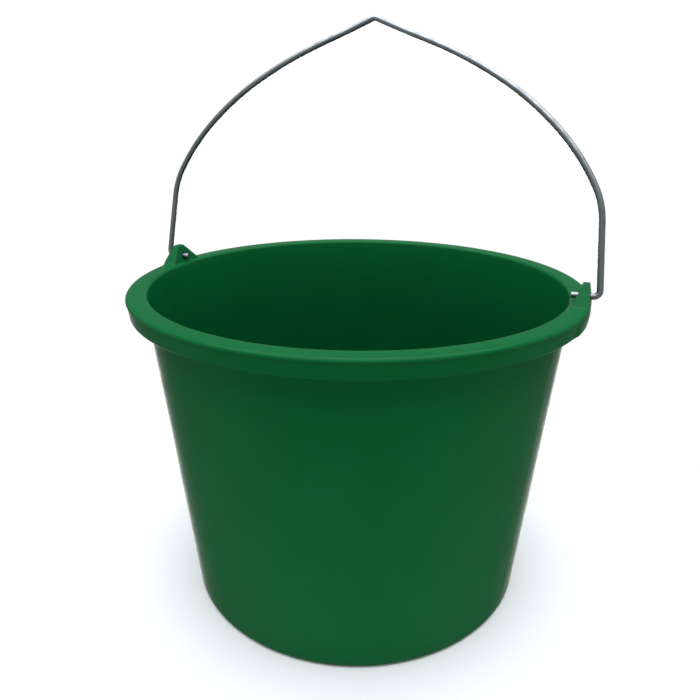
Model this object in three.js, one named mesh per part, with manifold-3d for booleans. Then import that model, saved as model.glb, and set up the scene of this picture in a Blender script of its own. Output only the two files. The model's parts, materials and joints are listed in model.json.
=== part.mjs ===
// A stable feed bucket: one injection-moulded plastic pail with a turned-down rim and two ears,
// and one bent wire bail that swings in the ears.
// Millimetres, +Z up. The origin is the centre of the foot, on the ground. The ears are on the X axis.
import * as THREE from 'three';
import { mergeVertices } from 'three/addons/utils/BufferGeometryUtils.js';
import Module from 'manifold-3d';

const wasm = await Module();
wasm.setup();

// ---- driving dimensions ----

// pail
const HEIGHT = 226; // foot to the flat top of the rim
const RIM_RADIUS = 155; // outside of the rim's flange
const WALL_RADIUS_TOP = 143.5; // outside of the wall where it meets the rim
const WALL_RADIUS_BASE = 126.3; // outside of the wall carried down to the ground
const WALL = 2.2;
const FLOOR = 2.8;
const BASE_CORNER = 4.5; // radius between wall and foot
const FLOOR_FILLET = 6; // radius inside, between wall and floor
const FOOT_RECESS = 2.2; // the base plate stands this far off the ground inside the foot ring
const FOOT_RING_INSIDE = 117;

// rim
const FLANGE = 2.6; // thickness of the flat top flange
const MOUTH_ROUND = 2.1; // rounded edge around the mouth
const FLANGE_ROUND = 2.4; // rounded outer edge of the flange
const SKIRT_DEPTH = 12; // rim top to the lower edge of the skirt
const SKIRT = 2; // skirt thickness
const SKIRT_STEP = 0.7; // the skirt is set in from the flange's outer edge by this much
const SKIRT_DRAFT = 0.9; // the skirt leans in by this much down its depth
const RIM_FILLET = 1.2; // under the flange, where the wall meets it

// ears, pads and ribs on the rim
const EAR_HEIGHT = 12.3; // above the rim top
const EAR_HALF_BASE = 16;
const EAR_HALF_TOP = 3;
const EAR_CORNER = 1.3; // radius on the ear's two top corners
const EAR_INNER_BASE = 144.4; // radii of the ear's inner and outer faces, which draft towards each other
const EAR_INNER_TOP = 148.1;
const EAR_OUTER_BASE = 154.9;
const EAR_OUTER_TOP = 152.3;
const EAR_ROOT = 1.8; // the ear is sunk this far into the flange
const PAD_HALF_WIDTH = 34; // thicker stretch of skirt under each ear
const PAD_PROUD = 1.1; // how far the pad stands out from the skirt
const RIB = 2.8; // thickness of the webs between wall and skirt, two under each ear
const RIB_POSITIONS = [-11, 11];
const RIB_DEPTH = 9;
const SKIRT_EDGE = 0.5; // small slope on the skirt's lower edges
const PAD_EDGE = 0.6; // and on the pad's lower and upper ones
const PAD_BELOW_FLANGE = 0.9;

// bail
const WIRE = 4; // wire diameter
const PIVOT_ABOVE_RIM = 4.2;
const EAR_HOLE = 5.4;
const PIN_TIP = 142; // the wire's cut end, inside the ear
const PIN_BEND_START = 154.8; // where the wire leaves the ear and starts to bend upwards
const PIN_BEND_RADIUS = 3.8;
const REST_LEAN = THREE.MathUtils.degToRad(8.9); // the bail stands up, leaning back by this much

// From the bend at the ear to the peak: each stretch of one half of the bail turns the wire further in.
const LEG_LEAN = 6.7; // degrees from upright
const LEG = 41;
const SHOULDER = { length: 21.4, turn: 23.2 };
const UPPER_ARM = [
  { length: 36, turn: 14.7 },
  { length: 54, turn: 15.2 },
  { length: 54, turn: 10.1 },
  { length: 30, turn: -2.4 },
];
const PEAK_RADIUS = 5.5; // the hook notch at the middle of the bail

// how finely round things are drawn
const ROUND_SEGMENTS = 96;
const WIRE_SIDES = 14;
const HOLE_SIDES = 24;
const BEND_STEPS = 5;

// ---- helpers ----

const degrees = THREE.MathUtils.degToRad;

// Points along an arc about (cx, cy) in a profile, both ends included; angles in degrees.
function arc(cx, cy, radius, from, to, steps) {
  const points = [];
  for (let i = 0; i <= steps; i += 1) {
    const angle = degrees(from + ((to - from) * i) / steps);
    points.push(new THREE.Vector2(cx + radius * Math.cos(angle), cy + radius * Math.sin(angle)));
  }
  return points;
}

const at = (r, z) => new THREE.Vector2(r, z);

// Solids that cut or keep something at both ears run right across the pail and past it.
const ACROSS = 2 * RIM_RADIUS + 20;
// Solids that are joined reach into one another by this much, so that they share no face.
const OVERLAP = 1;

// A profile of (radius, height) points turned about +Z.
function turned(profile) {
  return new THREE.LatheGeometry(profile, ROUND_SEGMENTS).rotateX(Math.PI / 2);
}

function toSolid(geometry) {
  const bare = geometry.clone();
  bare.deleteAttribute('normal');
  bare.deleteAttribute('uv');
  const merged = mergeVertices(bare, 1e-4);
  return new wasm.Manifold(
    new wasm.Mesh({
      numProp: 3,
      vertProperties: new Float32Array(merged.attributes.position.array),
      triVerts: new Uint32Array(merged.index.array),
    }),
  );
}

function toGeometry(solid) {
  const mesh = solid.getMesh();
  const geometry = new THREE.BufferGeometry();
  geometry.setAttribute('position', new THREE.BufferAttribute(new Float32Array(mesh.vertProperties), 3));
  geometry.setIndex(new THREE.BufferAttribute(new Uint32Array(mesh.triVerts), 1));
  geometry.computeVertexNormals();
  return geometry;
}

// ---- pail ----

const wallSlope = (WALL_RADIUS_TOP - WALL_RADIUS_BASE) / HEIGHT;
const outsideAt = (z) => WALL_RADIUS_BASE + wallSlope * z;
const insideAt = (z) => outsideAt(z) - WALL;

const flangeUnderside = HEIGHT - FLANGE;
const floorTop = FOOT_RECESS + FLOOR;
const skirtTopRadius = RIM_RADIUS - SKIRT_STEP;
const skirtBottom = HEIGHT - SKIRT_DEPTH;
const draft = THREE.MathUtils.radToDeg(Math.atan(wallSlope));

// One closed section from the axis under the base, up the outside, over the rim and down the inside.
function pailProfile() {
  const baseCornerCentre = outsideAt(0) - BASE_CORNER * (1 - wallSlope);
  const mouthCentre = insideAt(HEIGHT) + MOUTH_ROUND;
  const flangeCentre = RIM_RADIUS - FLANGE_ROUND;
  const filletCentre = insideAt(floorTop) - FLOOR_FILLET * (1 - wallSlope);
  return [
    at(0, FOOT_RECESS),
    at(FOOT_RING_INSIDE, FOOT_RECESS),
    at(FOOT_RING_INSIDE + 1, 0),
    ...arc(baseCornerCentre, BASE_CORNER, BASE_CORNER, -90, -draft, 5),
    ...arc(
      outsideAt(flangeUnderside) + RIM_FILLET,
      flangeUnderside - RIM_FILLET,
      RIM_FILLET,
      180,
      90,
      2,
    ),
    at(skirtTopRadius - SKIRT, flangeUnderside),
    at(skirtTopRadius - SKIRT - SKIRT_DRAFT / 2, skirtBottom + SKIRT_EDGE),
    at(skirtTopRadius - SKIRT - SKIRT_DRAFT / 2 + SKIRT_EDGE, skirtBottom),
    at(skirtTopRadius - SKIRT_DRAFT - SKIRT_EDGE, skirtBottom),
    at(skirtTopRadius - SKIRT_DRAFT, skirtBottom + SKIRT_EDGE),
    at(skirtTopRadius, flangeUnderside - SKIRT_STEP),
    at(RIM_RADIUS, flangeUnderside),
    ...arc(flangeCentre, HEIGHT - FLANGE_ROUND, FLANGE_ROUND, 0, 90, 4),
    ...arc(mouthCentre, HEIGHT - MOUTH_ROUND, MOUTH_ROUND, 90, 180 - draft, 4),
    ...arc(filletCentre, floorTop + FLOOR_FILLET, FLOOR_FILLET, -draft, -90, 5),
    at(0, floorTop),
  ];
}

// The ear's section, carried right round; its two ends are cut from it by earFront().
function earSection() {
  return turned([
    at(EAR_INNER_BASE, HEIGHT - EAR_ROOT),
    at(EAR_OUTER_BASE, HEIGHT - EAR_ROOT),
    at(EAR_OUTER_BASE, HEIGHT),
    at(EAR_OUTER_TOP, HEIGHT + EAR_HEIGHT),
    at(EAR_INNER_TOP, HEIGHT + EAR_HEIGHT),
    at(EAR_INNER_BASE, HEIGHT),
    at(EAR_INNER_BASE, HEIGHT - EAR_ROOT),
  ]);
}

// The ear's outline seen from the side, a trapezoid with rounded shoulders, as a prism along X.
function earFront() {
  const top = EAR_HEIGHT;
  const lean = Math.atan2(EAR_HALF_BASE - EAR_HALF_TOP, EAR_HEIGHT);
  const edge = EAR_CORNER * Math.tan((Math.PI / 2 - lean) / 2);
  const along = new THREE.Vector2(Math.sin(lean), -Math.cos(lean)).multiplyScalar(edge);
  const outline = new THREE.Shape();
  outline.moveTo(-EAR_HALF_BASE, -EAR_ROOT - OVERLAP);
  outline.lineTo(EAR_HALF_BASE, -EAR_ROOT - OVERLAP);
  outline.lineTo(EAR_HALF_BASE, 0);
  outline.lineTo(EAR_HALF_TOP + along.x, top + along.y);
  outline.quadraticCurveTo(EAR_HALF_TOP, top, EAR_HALF_TOP - edge, top);
  outline.lineTo(-EAR_HALF_TOP + edge, top);
  outline.quadraticCurveTo(-EAR_HALF_TOP, top, -EAR_HALF_TOP - along.x, top + along.y);
  outline.lineTo(-EAR_HALF_BASE, 0);
  outline.closePath();
  return new THREE.ExtrudeGeometry(outline, { depth: ACROSS, bevelEnabled: false, curveSegments: 4 })
    .translate(0, 0, -ACROSS / 2)
    .rotateX(Math.PI / 2)
    .rotateZ(Math.PI / 2)
    .translate(0, 0, HEIGHT);
}

// Thicker skirt under the ears, carried right round; padFront() keeps the stretch under each ear.
function padSection() {
  const outer = skirtTopRadius + PAD_PROUD;
  const padTop = flangeUnderside - PAD_BELOW_FLANGE;
  return turned([
    at(skirtTopRadius - SKIRT_DRAFT - OVERLAP, skirtBottom),
    at(outer - SKIRT_DRAFT - PAD_EDGE, skirtBottom),
    at(outer - SKIRT_DRAFT, skirtBottom + PAD_EDGE),
    at(outer, padTop - PAD_EDGE),
    at(outer - PAD_EDGE, padTop),
    at(skirtTopRadius - OVERLAP, padTop),
    at(skirtTopRadius - SKIRT_DRAFT - OVERLAP, skirtBottom),
  ]);
}

function padFront() {
  const tall = SKIRT_DEPTH + 2 * OVERLAP;
  return new THREE.BoxGeometry(ACROSS, 2 * PAD_HALF_WIDTH, tall).translate(0, 0, HEIGHT - SKIRT_DEPTH / 2);
}

// A web across the channel under the flange, on both sides of the pail at once.
function rib(y) {
  const inWall = outsideAt(flangeUnderside) - OVERLAP;
  const inSkirt = skirtTopRadius - SKIRT / 2;
  const ribBottom = flangeUnderside - RIB_DEPTH;
  const inFlange = flangeUnderside + FLANGE / 4;
  const channel = turned([
    at(inWall, ribBottom),
    at(inSkirt - SKIRT_DRAFT, ribBottom),
    at(inSkirt, inFlange),
    at(inWall, inFlange),
    at(inWall, ribBottom),
  ]);
  const slab = new THREE.BoxGeometry(ACROSS, RIB, SKIRT_DEPTH * 2).translate(0, y, HEIGHT);
  return toSolid(channel).intersect(toSolid(slab));
}

function earHoles() {
  return new THREE.CylinderGeometry(EAR_HOLE / 2, EAR_HOLE / 2, ACROSS, HOLE_SIDES)
    .rotateZ(Math.PI / 2)
    .translate(0, 0, HEIGHT + PIVOT_ABOVE_RIM);
}

function pail() {
  let solid = toSolid(turned(pailProfile()));
  solid = solid.add(toSolid(earSection()).intersect(toSolid(earFront())));
  solid = solid.add(toSolid(padSection()).intersect(toSolid(padFront())));
  for (const y of RIB_POSITIONS) {
    solid = solid.add(rib(y));
  }
  return toGeometry(solid.subtract(toSolid(earHoles())));
}

// ---- bail ----

// A flat wire line made of straight stretches and arcs. Each stretch has a length, the angle it turns
// through in degrees, and how many steps it is drawn with.
function follow(start, stretches) {
  const pieces = [];
  let { x, y, heading } = start;
  for (const { length, turn, steps } of stretches) {
    const piece = { x, y, heading, length, turn: degrees(turn), steps };
    pieces.push(piece);
    [x, y] = pointOn(piece, 1);
    heading += piece.turn;
  }
  return { pieces, end: { x, y, heading } };
}

// The point a fraction of the way along one stretch.
function pointOn({ x, y, heading, length, turn }, fraction) {
  const done = turn * fraction;
  const chord =
    Math.abs(turn) < 1e-6 ? length * fraction : (2 * length * Math.sin(done / 2)) / turn;
  return [x + chord * Math.cos(heading + done / 2), y + chord * Math.sin(heading + done / 2)];
}

// One half of the bail, from the cut end of the wire to the peak, in the plane of the bail:
// x is across the pail and y is up from the pivot.
function halfBail() {
  const bendTurn = 90 + LEG_LEAN;
  const stretches = [
    { length: PIN_BEND_START - PIN_TIP, turn: 0, steps: 2 },
    { length: PIN_BEND_RADIUS * degrees(bendTurn), turn: bendTurn, steps: BEND_STEPS + 2 },
    { length: LEG, turn: 0, steps: 4 },
    { ...SHOULDER, steps: BEND_STEPS },
    ...UPPER_ARM.map((stretch) => ({ ...stretch, steps: BEND_STEPS })),
  ];
  const arms = follow({ x: PIN_TIP, y: 0, heading: 0 }, stretches);
  // A last straight stretch carries the arm in to the peak's arc, which ends level, on the middle line.
  const peakTurn = 180 - THREE.MathUtils.radToDeg(arms.end.heading);
  const peakWidth = PEAK_RADIUS * Math.sin(degrees(peakTurn));
  const straight = (arms.end.x - peakWidth) / -Math.cos(arms.end.heading);
  const ending = follow(arms.end, [
    { length: straight, turn: 0, steps: 1 },
    { length: PEAK_RADIUS * degrees(peakTurn), turn: peakTurn, steps: 4 },
  ]);
  return [...arms.pieces, ...ending.pieces];
}

// The middle line of the whole wire, drawn with more steps where it bends.
class BailLine extends THREE.Curve {
  constructor() {
    super();
    const pieces = halfBail();
    const half = [];
    for (const piece of pieces) {
      for (let i = 0; i < piece.steps; i += 1) {
        half.push(pointOn(piece, i / piece.steps));
      }
    }
    const [, peakHeight] = pointOn(pieces.at(-1), 1);
    this.stations = [...half, [0, peakHeight], ...half.toReversed().map(([x, y]) => [-x, y])];
    this.steps = this.stations.length - 1;
  }

  getPoint(t, target = new THREE.Vector3()) {
    const place = Math.min(t * this.steps, this.steps - 1e-9);
    const i = Math.floor(place);
    const [ax, ay] = this.stations[i];
    const [bx, by] = this.stations[i + 1];
    const part = place - i;
    return target.set(ax + (bx - ax) * part, 0, ay + (by - ay) * part);
  }

  // Steps fall on the stations, not at equal distances along the wire.
  getPointAt(u, target) {
    return this.getPoint(u, target);
  }

  getTangentAt(u, target = new THREE.Vector3()) {
    const half = 0.5 / this.steps;
    const before = this.getPoint(Math.max(u - half, 0));
    const after = this.getPoint(Math.min(u + half, 1));
    return target.copy(after.sub(before).normalize());
  }
}

function bail() {
  const line = new BailLine();
  const section = new THREE.Shape();
  for (let i = 0; i < WIRE_SIDES; i += 1) {
    const angle = (2 * Math.PI * (i + 0.5)) / WIRE_SIDES;
    const point = at((WIRE / 2) * Math.cos(angle), (WIRE / 2) * Math.sin(angle));
    if (i === 0) section.moveTo(point.x, point.y);
    else section.lineTo(point.x, point.y);
  }
  section.closePath();
  return new THREE.ExtrudeGeometry(section, {
    steps: line.steps,
    extrudePath: line,
    bevelEnabled: false,
    curveSegments: 1,
  });
}

// ---- the assembly ----

const greenPlastic = new THREE.MeshStandardMaterial({
  name: 'green_polyethylene',
  color: '#12532c',
  roughness: 0.42,
  metalness: 0,
});
const zincedWire = new THREE.MeshStandardMaterial({
  name: 'zinc_plated_wire',
  color: '#8f9496',
  roughness: 0.32,
  metalness: 0.95,
});

const bucket = new THREE.Mesh(pail(), greenPlastic);
bucket.name = 'bucket';

const bailHandle = new THREE.Mesh(bail(), zincedWire);
bailHandle.name = 'bail_handle';
bailHandle.position.set(0, 0, HEIGHT + PIVOT_ABOVE_RIM);
bailHandle.rotation.x = -REST_LEAN;

const feedBucket = new THREE.Group();
feedBucket.name = 'feed_bucket';
feedBucket.add(bucket, bailHandle);

export default feedBucket;
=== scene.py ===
# %% [markdown]
# # A stable feed bucket
#
# The real bucket is two pieces: a pail of green polyethylene that comes out of one mould, and a bail of
# zinc-plated steel wire that is sprung into its two ears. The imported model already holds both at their
# real size, in flat facets. This lesson models each again with a fine, smooth surface in the same place,
# gives each the finish of its real material, and lights them softly on a pale floor.

# %% Load the frame
import json
import math

import bmesh
import bpy
from mathutils import Matrix, Vector


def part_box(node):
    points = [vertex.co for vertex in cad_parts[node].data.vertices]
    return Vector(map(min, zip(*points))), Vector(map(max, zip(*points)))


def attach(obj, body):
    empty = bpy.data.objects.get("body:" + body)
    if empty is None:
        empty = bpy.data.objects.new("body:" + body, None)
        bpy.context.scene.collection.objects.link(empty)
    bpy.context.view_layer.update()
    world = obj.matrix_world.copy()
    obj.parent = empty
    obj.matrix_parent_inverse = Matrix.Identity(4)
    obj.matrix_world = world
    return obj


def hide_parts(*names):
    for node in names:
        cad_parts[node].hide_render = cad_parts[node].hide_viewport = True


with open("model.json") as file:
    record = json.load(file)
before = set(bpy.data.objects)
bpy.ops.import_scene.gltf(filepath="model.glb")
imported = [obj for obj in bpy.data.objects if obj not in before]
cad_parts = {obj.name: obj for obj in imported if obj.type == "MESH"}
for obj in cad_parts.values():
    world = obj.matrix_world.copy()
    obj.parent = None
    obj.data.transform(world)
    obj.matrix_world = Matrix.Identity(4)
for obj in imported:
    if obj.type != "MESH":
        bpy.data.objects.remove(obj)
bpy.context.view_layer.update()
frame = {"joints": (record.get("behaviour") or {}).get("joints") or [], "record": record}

mounts = {mount["name"]: mount for mount in frame["record"]["mounts"]}
swing = frame["joints"][0]

# Shapes are worked out in millimetres, as a drawing of such a bucket is, and scaled to metres when done.
MM = 0.001
HEIGHT = mounts["rim_top"]["pos_m"][2] / MM
RIM_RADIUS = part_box("bucket")[1].y / MM
PIVOT_HEIGHT = swing["pos_m"][2] / MM
print(f"rim {HEIGHT:.1f} high and {RIM_RADIUS:.1f} in radius, pivot {PIVOT_HEIGHT:.1f} high")

# %% [markdown]
# ## Camera
#
# A camera is a place, a direction and a lens. This one stands a little over 40 cm from the bucket's middle
# line, above the rim and round to one side of the front, so that the near ear is at the right. Its lens
# is short for so small an object, which is why the rim looks so much wider than the base.

# %% Camera
CAMERA_AROUND = math.radians(21.48)
CAMERA_OUT = 0.4287
CAMERA_UP = 0.333
LOOKING_DOWN = math.radians(21.53)
ROLL = math.radians(0.45)

lens = bpy.data.cameras.new("camera")
lens.sensor_width = 36.0
lens.lens = 32.1
lens.shift_x = -0.0112
lens.shift_y = 0.0163
lens.clip_start = 0.01
camera = bpy.data.objects.new("camera", lens)
camera.matrix_world = (
    Matrix.Rotation(CAMERA_AROUND, 4, "Z")
    @ Matrix.Translation((0, -CAMERA_OUT, CAMERA_UP))
    @ Matrix.Rotation(math.pi / 2 - LOOKING_DOWN, 4, "X")
    @ Matrix.Rotation(ROLL, 4, "Z")
)
bpy.context.scene.collection.objects.link(camera)
bpy.context.scene.camera = camera
print("camera at", [round(c, 3) for c in camera.matrix_world.translation])

# %% [markdown]
# ## The pail
#
# A moulded pail is turned, with a few extras: two ears that rise from the rim, a thicker pad of skirt
# under each ear, webs behind the pad, and a hole through each ear for the wire. It could be turned
# finely and have its ears joined on with a boolean, but then ear and rim meet in a hard line that no
# mould leaves. So it is made as a cage. A section is spun, with columns where the ears need them, the
# ears are pulled up out of the rim's own faces, and Subdivision Surface rounds it all together, as
# the mould's small radii do. Wherever a corner has to stay tight, two points stand close together.

# %% The section's sizes
WALL_TOP = 143.5  # radius of the wall's outer side at the height of the rim's top, and at the ground
WALL_BASE = 126.3
WALL = 2.1
FLOOR = 2.8
FOOT_RECESS = 2.2
FOOT_RING = (118.5, 121.6)  # inner and outer radius of the flat ring that it stands on
FLANGE = 2.6
SKIRT_DEPTH = 12.0
SKIRT = 2.0
SKIRT_DRAFT = 0.9  # how much the skirt's outer side leans in towards its lower edge
SKIRT_OUT = RIM_RADIUS - 0.7
EAR_INNER = (144.4, 148.1)  # radius of the ear's inner face at its root and at its top
EAR_OUTER = (154.9, 152.3)

SLOPE = (WALL_TOP - WALL_BASE) / HEIGHT  # how much the wall's radius grows for each mm of height
WALL_MIDDLE = 110


def outside(z):
    return WALL_BASE + SLOPE * z


def inside(z):
    return outside(z) - WALL


def rounded(radius_to, height_to, size, start, end, steps=3):
    """Points on a rounded corner about (radius_to, height_to), from one angle to another in degrees."""
    turns = [math.radians(start + (end - start) * i / steps) for i in range(steps + 1)]
    return [(radius_to + size * math.cos(t), height_to + size * math.sin(t)) for t in turns]


# %% The section, stretch by stretch
def pail_section():
    """(radius, height) points from under the base's middle, up the outside, over the rim and down inside."""
    under = HEIGHT - FLANGE
    low = HEIGHT - SKIRT_DEPTH
    floor = FOOT_RECESS + FLOOR
    skirt_in = SKIRT_OUT - SKIRT
    gate, heel, edge, lip, fillet = 3.2, 4.5, 2.4, 2.1, 6.0  # sizes of the stub and of the rounded corners
    foot_in, foot_out = FOOT_RING
    halfway = 60  # a ring of points halfway across the base, inside and outside
    return {
        # a small stub is left in the middle, where the plastic was fed into the mould
        "gate": [(0, FOOT_RECESS - 0.8), (gate - 0.5, FOOT_RECESS - 0.8), (gate, FOOT_RECESS - 0.1)],
        "base": [(gate + 0.4, FOOT_RECESS), (halfway, FOOT_RECESS), (foot_in - 2.3, FOOT_RECESS)],
        "foot": [
            (foot_in - 1.3, FOOT_RECESS - 0.3),
            (foot_in - 0.7, 0.3),
            (foot_in, 0),
            (foot_out, 0),
            *rounded(outside(0) - heel * (1 - SLOPE), heel, heel, -84, -6),
        ],
        "wall": [(outside(z), z) for z in (16, WALL_MIDDLE, low - 16)],
        "channel": [
            (outside(low), low),
            (outside(under - 2), under - 2),
            (outside(under) + 0.4, under - 0.4),
            (outside(under) + 2, under),
            (skirt_in - 1, under),
            (skirt_in - 0.1, under - 0.8),
            (skirt_in - 0.5 * SKIRT_DRAFT, low + 1),
        ],
        "skirt_edge": [(skirt_in - 0.5 * SKIRT_DRAFT, low)],
        "skirt": [
            (SKIRT_OUT - SKIRT_DRAFT, low),
            (SKIRT_OUT - 0.9 * SKIRT_DRAFT, low + 1),
            (SKIRT_OUT - 0.1 * SKIRT_DRAFT, under - 1.5),
        ],
        "step": [(SKIRT_OUT, under - 0.5), (SKIRT_OUT + 0.15, under), (RIM_RADIUS - 0.1, under + 0.15)],
        "top": [
            *rounded(RIM_RADIUS - edge, HEIGHT - edge, edge, 15, 90),
            (149, HEIGHT),
            (EAR_INNER[0], HEIGHT),
        ],
        "mouth": rounded(inside(HEIGHT) + lip, HEIGHT - lip, lip, 84, 184),
        "inside": [(inside(z), z) for z in (HEIGHT - 14, WALL_MIDDLE, floor + 16)],
        "fillet": rounded(inside(floor) - fillet * (1 - SLOPE), floor + fillet, fillet, -6, -84),
        "floor": [(inside(floor) - 12, floor), (halfway, floor), (0, floor)],
    }


section = pail_section()
rows = {}
for stretch, points in section.items():
    first = sum(map(len, rows.values()))
    rows[stretch] = range(first, first + len(points))
print("section of", sum(map(len, rows.values())), "points in", len(rows), "stretches")

# %% [markdown]
# Columns are close together at the ears and wide apart elsewhere. A ring of a subdivided cage lies a
# little inside the cage's own corners, and further in where the columns are further apart. A corner
# ends at a sixth of each neighbour and four sixths of itself, so with an angle of a on one side and b
# on the other it comes in by (a*a + b*b) / 12 of its radius, and each column is moved out by as much.

# %% Columns round the pail
EAR_MEASURE = 150.0  # half widths across the ears and pads are measured at this radius
EAR_COLUMNS = (4.0, 7.0, 9.6, 12.4, 14.8, 16.0)
PAD_COLUMNS = (25.0, 33.4, 34.4)  # the pad's end is the step between the last two
OPEN_COLUMNS = 13  # equal steps from the pad to the middle of the front


def quarter_columns():
    near = [math.asin(half / EAR_MEASURE) for half in EAR_COLUMNS + PAD_COLUMNS]
    step = (math.pi / 2 - near[-1]) / OPEN_COLUMNS
    return near + [near[-1] + step * (i + 1) for i in range(OPEN_COLUMNS)]


def all_columns():
    """Angles of the columns from the middle of one ear right round, first and last the same place."""
    quarter = [0, *quarter_columns()]
    half = quarter + [math.pi - a for a in reversed(quarter[:-1])]
    return half + [math.pi + a for a in half[1:]]


columns = all_columns()
print(len(columns) - 1, "columns")


# %% Spin the section
def spun_pail():
    """The turned cage. Each point's row in the section is kept in a layer, so that stretches can be found."""
    bm = bmesh.new()
    row = bm.verts.layers.int.new("row")
    line = [bm.verts.new((r, 0, z)) for points in section.values() for r, z in points]
    for i, vert in enumerate(line):
        vert[row] = i
    ring = line + [bm.edges.new(pair) for pair in zip(line, line[1:])]
    gaps = [b - a for a, b in zip(columns, columns[1:])]
    for i, gap in enumerate(gaps):
        points = [part for part in ring if isinstance(part, bmesh.types.BMVert)]
        turn = bmesh.ops.spin(bm, geom=ring, axis=(0, 0, 1), angle=gap, steps=1, use_merge=False)
        ring = turn["geom_last"]
        outward = 1 + (gaps[i - 1] ** 2 + gap**2) / 12
        bmesh.ops.scale(bm, vec=(outward, outward, 1), verts=points)
    outward = 1 + (gaps[-1] ** 2 + gaps[0] ** 2) / 12
    points = [part for part in ring if isinstance(part, bmesh.types.BMVert)]
    bmesh.ops.scale(bm, vec=(outward, outward, 1), verts=points)
    bmesh.ops.remove_doubles(bm, verts=bm.verts, dist=0.02)
    bmesh.ops.recalc_face_normals(bm, faces=bm.faces)
    return bm, row


cage, row_layer = spun_pail()
print("cage of", len(cage.faces), "faces, closed:", all(edge.is_manifold for edge in cage.edges))


# %% Find points and faces of the cage
def width_of(vert):
    """How far round from the middle of an ear a point's column is, as a half width at the rim in mm."""
    return EAR_MEASURE * vert.co.y / math.hypot(vert.co.x, vert.co.y)


def pick_faces(stretch, side, narrow, wide):
    """Faces of one stretch of the section, on the +X or the -X side, between two half widths."""
    return [
        face
        for face in cage.faces
        if all(
            vert[row_layer] in rows[stretch]
            and vert.co.x * side > 0
            and narrow - 0.1 < width_of(vert) < wide + 0.1
            for vert in face.verts
        )
    ]


ear_ring = pick_faces("top", 1, -EAR_COLUMNS[-1], EAR_COLUMNS[-1])
print("an ear stands on", len(ear_ring), "faces of the rim's top")

# %% [markdown]
# The ears are pulled up out of the rim's top. The faces between an ear's two ends are extruded again and
# again, and each time the new points go to their own place: the ear narrows upwards to a blunt top, and
# its inner and outer faces lean towards each other, so that it leaves the mould. The hole is a block of
# four faces taken out of either side, with what is left drawn to a circle and bridged.

# %% Sizes of the ears
EAR_HEIGHT = 12.3
EAR_TOP_SHARE = 3.0 / EAR_COLUMNS[-1]  # half width at the top over half width at the root
HOLE_LEVEL = PIVOT_HEIGHT - HEIGHT
HOLE_BLOCK = 3.0  # half the height of the block of faces taken out for the hole
HOLE = 5.4
HOLE_LIP = 0.4
EAR_LEVELS = (HOLE_LEVEL - HOLE_BLOCK, HOLE_LEVEL, HOLE_LEVEL + HOLE_BLOCK, 10.8, EAR_HEIGHT)
EAR_STRIPS = (1.0, 0.95, 0.82, 0.5, 0.13, 0.0)  # across the ear, from its outer face to its inner one

# Each point of an ear keeps its strip, half width and level in a layer.
place_layer = cage.verts.layers.float_vector.new("place")


def between(pair, share):
    return pair[0] + (pair[1] - pair[0]) * share


def on_ear(side, strip, width, level):
    """The point at one strip, half width and level of the ear on the +X or the -X side."""
    risen = level / EAR_HEIGHT
    radius = between((between(EAR_INNER, risen), between(EAR_OUTER, risen)), strip)
    y = width * between((1, EAR_TOP_SHARE), risen)
    return Vector((side * math.sqrt(radius**2 - y**2), y, HEIGHT + level))


print("holes", round(HOLE_LEVEL, 1), "above the rim")


# %% Raise the ears
def raise_ear(side):
    faces = pick_faces("top", side, -EAR_COLUMNS[-1], EAR_COLUMNS[-1])
    for vert in {vert for face in faces for vert in face.verts}:
        strip = EAR_STRIPS[vert[row_layer] - rows["top"][0]]
        vert[place_layer] = (strip, width_of(vert), 0)
    for level in EAR_LEVELS:
        grown = bmesh.ops.extrude_face_region(cage, geom=faces)["geom"]
        bmesh.ops.delete(cage, geom=faces, context="FACES")
        faces = [part for part in grown if isinstance(part, bmesh.types.BMFace)]
        for vert in [part for part in grown if isinstance(part, bmesh.types.BMVert)]:
            strip, width, _ = vert[place_layer]
            vert[place_layer] = (strip, width, level)
            vert.co = on_ear(side, strip, width, level)


def pierce_ear(side):
    """Takes a block of two by two faces out of both sides of an ear and joins the openings with a bore."""
    # An eight-sided loop of a cage draws in to this much of its size when it is subdivided.
    drawn_in = (2 + math.cos(math.pi / 4)) / 3
    size = HOLE / 2 / drawn_in
    block = [
        face
        for face in cage.faces
        if all(
            vert.co.x * side > 0
            and abs(vert[place_layer].z - HOLE_LEVEL) < HOLE_BLOCK + 0.1
            and abs(vert[place_layer].y) < EAR_COLUMNS[0] + 0.1
            and min(abs(vert[place_layer].x - strip) for strip in (0, 1)) < 0.01
            for vert in face.verts
        )
    ]
    for vert in {vert for face in block for vert in face.verts}:
        strip, width, level = vert[place_layer]
        away = Vector((round(width / EAR_COLUMNS[0]), round((level - HOLE_LEVEL) / HOLE_BLOCK)))
        if away.length:
            away = away.normalized() * size
            narrowed = between((1, EAR_TOP_SHARE), (HOLE_LEVEL + away.y) / EAR_HEIGHT)
            vert.co = on_ear(side, strip, away.x / narrowed, HOLE_LEVEL + away.y)
    bmesh.ops.delete(cage, geom=block, context="FACES")
    rims = [edge for edge in cage.edges if edge.is_boundary]
    lips = bmesh.ops.extrude_edge_only(cage, edges=rims)["geom"]
    for vert in [part for part in lips if isinstance(part, bmesh.types.BMVert)]:
        inwards = 1 if vert[place_layer].x < 0.5 else -1
        vert.co.x += side * inwards * HOLE_LIP
    bmesh.ops.bridge_loops(cage, edges=[edge for edge in cage.edges if edge.is_boundary])


for side in (1, -1):
    raise_ear(side)
    pierce_ear(side)
print("ears to", round(max(v.co.z for v in cage.verts), 2), "closed:", all(e.is_manifold for e in cage.edges))

# %% [markdown]
# Under each ear the skirt is thicker, to carry the pull of the wire, and two webs tie it to the wall.
# A web is made by taking the channel's own faces out between two columns and closing what is left.

# %% Pads and webs
PAD_PROUD = 1.1
PAD_HALF = PAD_COLUMNS[1]
WEB = (9.6, 12.4)  # between these half widths


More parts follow.
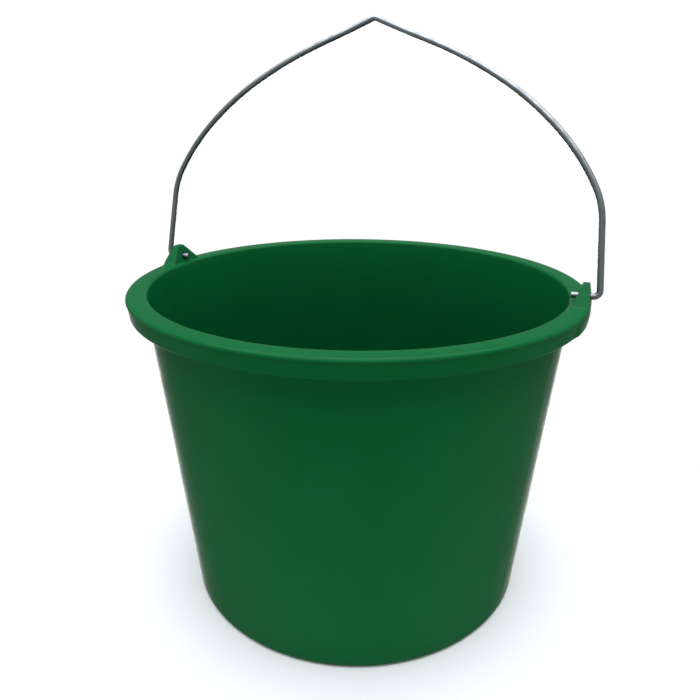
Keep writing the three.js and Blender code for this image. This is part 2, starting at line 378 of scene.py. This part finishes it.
def swell_pad(side):
    for vert in cage.verts:
        in_skirt = vert[row_layer] in rows["skirt"] and vert.co.x * side > 0
        if in_skirt and abs(width_of(vert)) < PAD_HALF + 0.1:
            outward = 1 + PAD_PROUD / math.hypot(vert.co.x, vert.co.y)
            vert.co.x *= outward
            vert.co.y *= outward


def add_web(side, narrow, wide):
    faces = pick_faces("channel", side, narrow, wide)
    ends = [
        edge
        for face in faces
        for edge in face.edges
        if {vert[row_layer] for vert in edge.verts} in ({rows["channel"][0]}, {rows["channel"][-1]})
    ]
    bmesh.ops.delete(cage, geom=faces, context="FACES")
    bmesh.ops.contextual_create(cage, geom=ends)
    bmesh.ops.holes_fill(cage, edges=[edge for edge in cage.edges if edge.is_boundary])


for side in (1, -1):
    swell_pad(side)
    add_web(side, *WEB)
    add_web(side, -WEB[1], -WEB[0])
print("pads and webs made, closed:", all(e.is_manifold for e in cage.edges))

# %% [markdown]
# Both pieces end the same way: a cage is turned into a mesh in metres, with its place in the mesh itself,
# the object is hung on the body of the frame that carries it, and the node that it replaces is hidden.

# %% From a cage to a finished piece
def finished(name, bm, body, node, finish, rounds):
    """A smooth object from a cage drawn in mm: it rides on body and stands for one node of the frame."""
    bmesh.ops.recalc_face_normals(bm, faces=bm.faces)
    bmesh.ops.scale(bm, vec=(MM, MM, MM), verts=bm.verts)
    mesh = bpy.data.meshes.new(name)
    bm.to_mesh(mesh)
    bm.free()
    mesh.shade_smooth()
    mesh.materials.append(finish)
    piece = bpy.data.objects.new(name, mesh)
    bpy.context.scene.collection.objects.link(piece)
    if rounds:
        smooth = piece.modifiers.new("rounding", "SUBSURF")
        smooth.levels = smooth.render_levels = rounds
    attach(piece, body)
    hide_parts(node)
    return piece


# %% [markdown]
# ## Nodes and colours
#
# Each finish is a network of shader nodes. One small function adds a node, sets its values and makes its
# links, so that a finish reads from top to bottom. Colours are written as they look on a screen, and
# one function turns them into the linear light that the renderer works in.

# %% Helpers for finishes
def linear(hex_colour):
    """An sRGB hex colour as linear RGBA."""
    channels = [int(hex_colour[i : i + 2], 16) / 255 for i in (1, 3, 5)]
    return [c / 12.92 if c <= 0.04045 else ((c + 0.055) / 1.055) ** 2.4 for c in channels] + [1.0]


def add(tree, kind, values=(), links=(), stops=(), **settings):
    """Adds a node. values are (socket, value), links are (socket, output) and stops are (place, colour)."""
    node = tree.nodes.new(kind)
    for name, value in settings.items():
        setattr(node, name, value)
    for socket, value in values:
        node.inputs[socket].default_value = value
    for socket, output in links:
        tree.links.new(output, node.inputs[socket])
    for i, (place, colour) in enumerate(stops):
        stop = node.color_ramp.elements[i] if i < 2 else node.color_ramp.elements.new(place)
        stop.position = place
        stop.color = colour
    return node


def new_finish(name):
    finish = bpy.data.materials.new(name)
    finish.use_nodes = True
    finish.node_tree.nodes.clear()
    return finish, finish.node_tree


BLACK = linear("#000000")
WHITE = linear("#ffffff")

# A Mix node has one socket of each name for every kind of value, so those for colours go by number.
MIX_A, MIX_B, MIX_RESULT = 6, 7, 2

# %% [markdown]
# ## Finish 1: injection-moulded polyethylene
#
# Polyethylene is a soft, waxy plastic, coloured right through. The mould's spark-eroded steel leaves it
# satin rather than glossy, with a very fine grain, and the wall has slow waves where the melt shrank.
# Some use has left dull rubbed patches, hair scratches up and down the wall from stacking, and a foot
# that is paler where it scrapes the ground. The colour hardly varies, so the interest is in the gloss.
# The pattern is in object space, in real millimetres, so it stays with the pail and needs no unwrapping.

# %% Green polyethylene
GREEN = linear("#055229")
GREEN_DEEP = linear("#055027")
GREEN_RUBBED = linear("#1a613c")
SHRINK_WAVE_MM = 42
SCUFF_MM = 14
GRAIN_MM = 0.5  # the real grain is about 0.1 mm and is drawn coarser so that it shows
SCRATCH_MM = 0.9  # real hair scratches are about 0.2 mm wide and are drawn coarser so that they show
SCRATCH_LENGTH = 40  # times its width

# The IOR is that of most plastics. The specular level is no measure of polyethylene: it is matched to this
# room's light, far below the usual 0.5, with which the pail looked milky. Another light may want more.
GREEN_IOR = 1.5
GREEN_SPECULAR = 0.05


def green_polyethylene():
    finish, tree = new_finish("injection_moulded_polyethylene_green")
    place = add(tree, "ShaderNodeTexCoord").outputs["Object"]
    wave = add(
        tree,
        "ShaderNodeTexNoise",
        [("Scale", 1 / (SHRINK_WAVE_MM * MM)), ("Detail", 1.5)],
        [("Vector", place)],
    ).outputs["Fac"]
    scuff = add(
        tree,
        "ShaderNodeTexNoise",
        [("Scale", 1 / (SCUFF_MM * MM)), ("Detail", 7.0), ("Roughness", 0.62)],
        [("Vector", place)],
    ).outputs["Fac"]
    grain = add(
        tree,
        "ShaderNodeTexNoise",
        [("Scale", 1 / (GRAIN_MM * MM)), ("Detail", 2.0), ("Roughness", 0.6)],
        [("Vector", place)],
    ).outputs["Fac"]
    upright = add(
        tree,
        "ShaderNodeMapping",
        [("Scale", (1, 1, 1 / SCRATCH_LENGTH))],
        [("Vector", place)],
    ).outputs["Vector"]
    scratch_noise = add(
        tree,
        "ShaderNodeTexNoise",
        [("Scale", 1 / (SCRATCH_MM * MM)), ("Detail", 3.0), ("Roughness", 0.7)],
        [("Vector", upright)],
    ).outputs["Fac"]
    scratches = add(
        tree,
        "ShaderNodeValToRGB",
        links=[("Fac", scratch_noise)],
        stops=[(0.63, BLACK), (0.74, WHITE)],
    ).outputs["Color"]
    patches = add(
        tree,
        "ShaderNodeValToRGB",
        links=[("Fac", scuff)],
        stops=[(0.46, BLACK), (0.68, WHITE)],
    ).outputs["Color"]
    # The lowest few millimetres scrape the ground, unevenly.
    height = add(tree, "ShaderNodeSeparateXYZ", links=[("Vector", place)]).outputs["Z"]
    scraped_height = add(
        tree,
        "ShaderNodeMath",
        [(1, 9 * MM)],
        [(0, scuff), (2, height)],
        operation="MULTIPLY_ADD",
    ).outputs["Value"]
    scraped = add(
        tree,
        "ShaderNodeMapRange",
        [("From Min", 7.5 * MM), ("From Max", 4.5 * MM), ("To Min", 0.0), ("To Max", 0.8)],
        [("Value", scraped_height)],
    ).outputs["Result"]
    scratched_patches = add(
        tree,
        "ShaderNodeMath",
        links=[(0, scratches), (1, patches)],
        operation="MULTIPLY",
    ).outputs["Value"]
    wear = add(
        tree,
        "ShaderNodeMath",
        links=[(0, scratched_patches), (1, scraped)],
        operation="ADD",
        use_clamp=True,
    ).outputs["Value"]
    tone = add(
        tree,
        "ShaderNodeValToRGB",
        links=[("Fac", wave)],
        stops=[(0.35, GREEN_DEEP), (0.65, GREEN)],
    ).outputs["Color"]
    rub_share = add(tree, "ShaderNodeMath", [(1, 0.35)], [(0, wear)], operation="MULTIPLY").outputs["Value"]
    colour = add(
        tree,
        "ShaderNodeMix",
        [(MIX_B, GREEN_RUBBED)],
        [("Factor", rub_share), (MIX_A, tone)],
        data_type="RGBA",
    ).outputs[MIX_RESULT]
    dullness = add(
        tree,
        "ShaderNodeMath",
        [(1, 0.35)],
        [(0, patches), (2, wear)],
        operation="MULTIPLY_ADD",
    ).outputs["Value"]
    roughness = add(
        tree,
        "ShaderNodeMapRange",
        [("To Min", 0.3), ("To Max", 0.46)],
        [("Value", dullness)],
    ).outputs["Result"]
    waved = add(
        tree,
        "ShaderNodeBump",
        [("Strength", 1.0), ("Distance", 0.15 * MM)],
        [("Height", wave)],
    ).outputs["Normal"]
    scratched = add(
        tree,
        "ShaderNodeBump",
        [("Strength", 0.35), ("Distance", 0.03 * MM)],
        [("Height", scratched_patches), ("Normal", waved)],
        invert=True,
    ).outputs["Normal"]
    grained = add(
        tree,
        "ShaderNodeBump",
        [("Strength", 0.3), ("Distance", 0.03 * MM)],
        [("Height", grain), ("Normal", scratched)],
    ).outputs["Normal"]
    surface = add(
        tree,
        "ShaderNodeBsdfPrincipled",
        [("IOR", GREEN_IOR), ("Specular IOR Level", GREEN_SPECULAR)],
        [("Base Color", colour), ("Roughness", roughness), ("Normal", grained)],
    ).outputs["BSDF"]
    add(tree, "ShaderNodeOutputMaterial", links=[("Surface", surface)])
    return finish


# %% Finish the pail
pail = finished("pail", cage, "bucket", "bucket", green_polyethylene(), rounds=2)
print("pail of", len(pail.data.polygons), "cage faces")

# %% [markdown]
# ## The bail
#
# The bail is one length of drawn wire, bent in a flat former: a pin through the ear, a tight bend, a
# straight leg, a shoulder, a long arm that curves less and less, and a small notch at the top where it
# hangs on a hook. A curve with a round bevel would do, but bends of a true radius are simplest to make as
# a bender does: a circle is pushed straight or spun about the middle of each bend. Half of it is made
# and then mirrored. While it grows, each point keeps where it lay on the straight wire before bending,
# which the finish uses, because the marks of drawing run along the wire.

# %% The wire's bends
WIRE = 4.0
WIRE_SIDES = 24
CUT_EDGE = 0.35  # the cut end's small bevel
PIN_TIP = 142.0  # distances from the pail's middle
PIN_BEND_START = 154.8
PIN_BEND_RADIUS = 3.8
LEG_LEAN = 6.7  # degrees from upright, in the bail's own plane
LEAN_BACK = 8.9  # degrees that the whole bail leans back at rest
PEAK_RADIUS = 5.5

# (length in mm, turn in degrees, steps)
ARM = [
    (PIN_BEND_START - PIN_TIP, 0, 2),
    (PIN_BEND_RADIUS * math.radians(90 + LEG_LEAN), 90 + LEG_LEAN, 16),
    (41.0, 0, 4),
    (21.4, 23.2, 8),
    (36.0, 14.7, 8),
    (54.0, 15.2, 10),
    (54.0, 10.1, 8),
    (30.0, -2.4, 4),
]
print("half the bail turns through", round(sum(turn for _, turn, _ in ARM), 1), "degrees before its peak")


# %% Push and bend the wire
def grow(bm, ring, at, heading, length, turn, steps):
    """Pushes the wire's end along one stretch. Returns its new end ring, place and heading."""
    lay = bm.verts.layers.float_vector["lay"]
    turn = math.radians(turn)
    for _ in range(steps):
        if turn:
            radius = length / turn
            centre = at + radius * Vector((-math.sin(heading), 0, math.cos(heading)))
            part = turn / steps
            new = bmesh.ops.spin(bm, geom=ring, cent=centre, axis=(0, -1, 0), angle=part, steps=1)
            new = new["geom_last"]
            at = centre + Matrix.Rotation(part, 3, (0, -1, 0)) @ (at - centre)
            heading += part
        else:
            step = length / steps * Vector((math.cos(heading), 0, math.sin(heading)))
            new = bmesh.ops.extrude_edge_only(bm, edges=ring)["geom"]
            bmesh.ops.translate(bm, vec=step, verts=[v for v in new if isinstance(v, bmesh.types.BMVert)])
            at = at + step
        verts = {part for part in new if isinstance(part, bmesh.types.BMVert)}
        for vert in verts:
            vert[lay].z += length / steps
        ring = [part for part in new if isinstance(part, bmesh.types.BMEdge) and set(part.verts) <= verts]
    return ring, at, heading


def bent_wire():
    bm = bmesh.new()
    lay = bm.verts.layers.float_vector.new("lay")
    bmesh.ops.create_circle(bm, cap_ends=True, segments=WIRE_SIDES, radius=WIRE / 2)
    for vert in bm.verts:
        vert[lay] = vert.co
    at, heading = Vector((PIN_TIP, 0, 0)), 0.0
    bmesh.ops.transform(
        bm,
        matrix=Matrix.Translation(at) @ Matrix.Rotation(math.pi / 2, 4, "Y"),
        verts=bm.verts,
    )
    cut_end = bm.edges[:]
    ring = cut_end
    for length, turn, steps in ARM:
        ring, at, heading = grow(bm, ring, at, heading, length, turn, steps)
    # A last straight runs up to the notch, which ends level, on the middle line.
    peak_turn = math.pi - heading
    straight = (at.x - PEAK_RADIUS * math.sin(peak_turn)) / -math.cos(heading)
    ring, at, heading = grow(bm, ring, at, heading, straight, 0, 4)
    notch = PEAK_RADIUS * peak_turn
    ring, at, heading = grow(bm, ring, at, heading, notch, math.degrees(peak_turn), 10)
    print(f"wire ends at x = {at.x:.4f}, {at.z:.1f} above the pivot")
    bmesh.ops.bevel(
        bm, geom=cut_end, offset=CUT_EDGE, affect="EDGES", segments=3, profile=0.5, material=-1
    )
    bmesh.ops.mirror(bm, geom=bm.verts[:] + bm.edges[:] + bm.faces[:], merge_dist=0.01, axis="X")
    bmesh.ops.recalc_face_normals(bm, faces=bm.faces)
    stand = Matrix.Translation((0, 0, PIVOT_HEIGHT)) @ Matrix.Rotation(-math.radians(LEAN_BACK), 4, "X")
    bmesh.ops.transform(bm, matrix=stand, verts=bm.verts)
    return bm


# %% [markdown]
# ## Finish 2: zinc-plated drawn wire
#
# The wire is drawn through a die, which leaves fine lines along it, and then plated with zinc a few
# thousandths of a millimetre thick: a grey metal, half bright, a little blue, with duller cloudy stretches.
# The pattern reads the straightened wire's own measure, in millimetres, so that the lines follow every
# bend.

# %% Zinc-plated wire
ZINC = linear("#94999c")
ZINC_DULL = linear("#7b8185")
DRAW_LINE_MM = 0.4  # real lines are finer than 0.05 mm and are drawn coarser so that they show
DRAW_LINE_LENGTH = 60  # times its width
CLOUD_MM = 9


def zinc_plated_wire():
    finish, tree = new_finish("zinc_plated_drawn_steel_wire")
    lay = add(tree, "ShaderNodeAttribute", attribute_name="lay").outputs["Vector"]
    cloud = add(
        tree,
        "ShaderNodeTexNoise",
        [("Scale", 1 / CLOUD_MM), ("Detail", 5.0), ("Roughness", 0.6)],
        [("Vector", lay)],
    ).outputs["Fac"]
    along = add(
        tree,
        "ShaderNodeMapping",
        [("Scale", (1, 1, 1 / DRAW_LINE_LENGTH))],
        [("Vector", lay)],
    ).outputs["Vector"]
    lines = add(
        tree,
        "ShaderNodeTexNoise",
        [("Scale", 1 / DRAW_LINE_MM), ("Detail", 2.0)],
        [("Vector", along)],
    ).outputs["Fac"]
    colour = add(
        tree,
        "ShaderNodeValToRGB",
        links=[("Fac", cloud)],
        stops=[(0.35, ZINC_DULL), (0.62, ZINC)],
    ).outputs["Color"]
    roughness = add(
        tree,
        "ShaderNodeMapRange",
        [("From Min", 0.3), ("From Max", 0.7), ("To Min", 0.52), ("To Max", 0.38)],
        [("Value", cloud)],
    ).outputs["Result"]
    drawn = add(
        tree,
        "ShaderNodeBump",
        [("Strength", 0.2), ("Distance", 0.02 * MM)],
        [("Height", lines)],
    ).outputs["Normal"]
    surface = add(
        tree,
        "ShaderNodeBsdfPrincipled",
        [("Metallic", 1.0)],
        [("Base Color", colour), ("Roughness", roughness), ("Normal", drawn)],
    ).outputs["BSDF"]
    add(tree, "ShaderNodeOutputMaterial", links=[("Surface", surface)])
    return finish


# %% Finish the bail
bail = finished("bail", bent_wire(), "bail", "bail_handle", zinc_plated_wire(), rounds=0)
print("bail of", len(bail.data.polygons), "faces")

# %% [markdown]
# ## Floor and light
#
# The bucket stands on a plain pale floor in a white room, under one broad soft lamp. A satin plastic shows
# what is round it, and with white on every side it would look milky. So the room has two faces. As
# something to be reflected it is dim, apart from a bright stretch low down behind the bucket, which
# draws the pale edges of light down its sides. As a light it is a band along the horizon, which reaches
# the wall under the rim, and hardly the inside. The floor is a small round sheet and the white room takes
# over from it, so that the wall is lit from the ground most strongly at its foot.

# %% Floor
FLOOR_RADIUS = 0.36  # metres


def pale_floor():
    finish, tree = new_finish("pale_floor_paint")
    place = add(tree, "ShaderNodeTexCoord").outputs["Object"]
    mottle = add(tree, "ShaderNodeTexNoise", [("Scale", 3.0)], [("Vector", place)]).outputs["Fac"]
    colour = add(
        tree,
        "ShaderNodeValToRGB",
        links=[("Fac", mottle)],
        stops=[(0.3, linear("#f3f3f3")), (0.7, linear("#f6f6f6"))],
    ).outputs["Color"]
    surface = add(
        tree,
        "ShaderNodeBsdfPrincipled",
        [("Roughness", 0.9), ("Specular IOR Level", 0.1)],
        [("Base Color", colour)],
    ).outputs["BSDF"]
    add(tree, "ShaderNodeOutputMaterial", links=[("Surface", surface)])
    return finish


bm = bmesh.new()
bmesh.ops.create_circle(bm, cap_ends=True, segments=96, radius=FLOOR_RADIUS)
ground = bpy.data.meshes.new("floor")
bm.to_mesh(ground)
bm.free()
ground.materials.append(pale_floor())
floor = bpy.data.objects.new("floor", ground)
floor.visible_glossy = False
bpy.context.scene.collection.objects.link(floor)
print("floor of radius", FLOOR_RADIUS, "m")

# %% The room
BACKDROP_DOWN = math.radians(28)  # the bright stretch lies this far below the horizon
LOW_DOWN = Vector((0, math.cos(BACKDROP_DOWN), -math.sin(BACKDROP_DOWN)))
BACKDROP = Matrix.Rotation(CAMERA_AROUND, 3, "Z") @ LOW_DOWN

# How bright its reflection is, from the side opposite to the bright stretch round to the bright stretch.
ROOM_STOPS = ((0.3, 0.3), (0.5, 0.6), (0.84, 0.12), (0.93, 0.6), (0.98, 9.0))

# How much light it gives, from straight below, through the horizon, to straight above.
FILL_STOPS = ((0.38, 0.1), (0.47, 2.1), (0.56, 2.1), (0.66, 0.1))

world = bpy.data.worlds.new("studio")
world.use_nodes = True
tree = world.node_tree
tree.nodes.clear()
towards = add(tree, "ShaderNodeTexCoord").outputs["Generated"]
facing = add(
    tree,
    "ShaderNodeVectorMath",
    [(1, BACKDROP)],
    [(0, towards)],
    operation="DOT_PRODUCT",
).outputs["Value"]
turned_to = add(
    tree,
    "ShaderNodeMapRange",
    [("From Min", -1.0), ("From Max", 1.0)],
    [("Value", facing)],
).outputs["Result"]
reflection = add(
    tree,
    "ShaderNodeValToRGB",
    links=[("Fac", turned_to)],
    stops=[(at, (light, light, light, 1)) for at, light in ROOM_STOPS],
).outputs["Color"]
height = add(tree, "ShaderNodeSeparateXYZ", links=[("Vector", towards)]).outputs["Z"]
ray = add(tree, "ShaderNodeLightPath")
level = add(
    tree,
    "ShaderNodeMapRange",
    [("From Min", -1.0), ("From Max", 1.0)],
    [("Value", height)],
).outputs["Result"]
fill = add(
    tree,
    "ShaderNodeValToRGB",
    links=[("Fac", level)],
    stops=[(at, (light, light, light, 1)) for at, light in FILL_STOPS],
).outputs["Color"]
lighting = add(tree, "ShaderNodeBackground", [("Color", WHITE)], [("Strength", fill)])
mirrored = add(tree, "ShaderNodeBackground", [("Color", WHITE)], [("Strength", reflection)])
plain = add(tree, "ShaderNodeBackground", [("Color", WHITE)])
lit_or_mirrored = add(
    tree,
    "ShaderNodeMixShader",
    links=[(0, ray.outputs["Is Glossy Ray"]), (1, lighting.outputs[0]), (2, mirrored.outputs[0])],
).outputs["Shader"]
sky = add(
    tree,
    "ShaderNodeMixShader",
    links=[(0, ray.outputs["Is Camera Ray"]), (1, lit_or_mirrored), (2, plain.outputs[0])],
).outputs["Shader"]
add(tree, "ShaderNodeOutputWorld", links=[("Surface", sky)])
world.cycles.sampling_method = "NONE"  # the room is smooth enough to be found by the rays alone
bpy.context.scene.world = world
print("room of", len(tree.nodes), "nodes")

# %% The lamp
LAMP_FORWARD = math.radians(2)  # from straight overhead towards the camera
LAMP_AWAY = 1.35  # metres
LAMP_COLOUR = (0.97, 1.0, 1.06)  # a little cool, as daylight through a diffuser is

lamp = bpy.data.lights.new("softbox", "AREA")
lamp.shape = "DISK"
lamp.size = 2.1
lamp.energy = 45.0
lamp.color = LAMP_COLOUR
softbox = bpy.data.objects.new("softbox", lamp)
softbox.matrix_world = (
    Matrix.Rotation(CAMERA_AROUND, 4, "Z")
    @ Matrix.Rotation(LAMP_FORWARD, 4, "X")
    @ Matrix.Translation((0, 0, LAMP_AWAY))
)
bpy.context.scene.collection.objects.link(softbox)

# Colours are shown as they are, without a film-like curve.
bpy.context.scene.view_settings.view_transform = "Standard"
print("lamp at", [round(c, 2) for c in softbox.matrix_world.translation])
